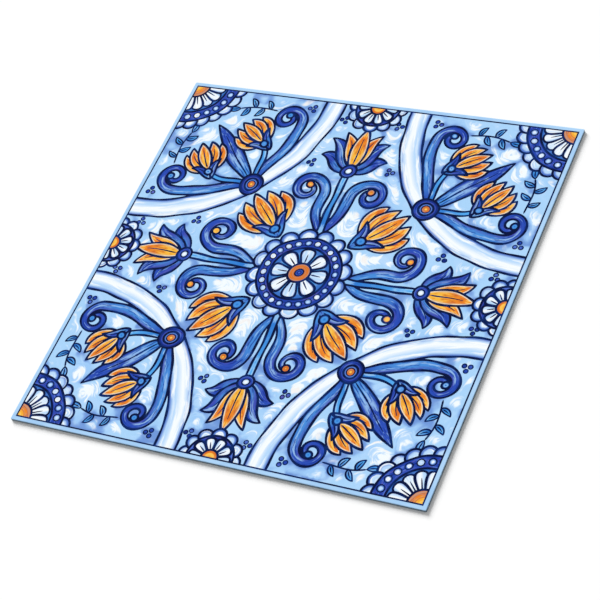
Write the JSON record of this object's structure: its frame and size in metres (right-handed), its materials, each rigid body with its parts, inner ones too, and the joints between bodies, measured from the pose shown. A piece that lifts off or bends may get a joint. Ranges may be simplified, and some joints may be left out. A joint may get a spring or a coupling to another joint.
{
  "type": "peel and stick tile",
  "caption": "Thin square vinyl wall tile with an ornamental printed face and a self-adhesive back, pressed onto a wall or an old tile.",
  "frame": {"origin": "centre of the adhesive back, in its plane", "axes": "+Z out of the printed face, X and Y along the sides"},
  "size_m": [0.15, 0.15, 0.001],
  "materials": {
    "printed_vinyl": "satin"
  },
  "bodies": {
    "root": {"vinyl_tile": "printed_vinyl"}
  },
  "joints": []
}
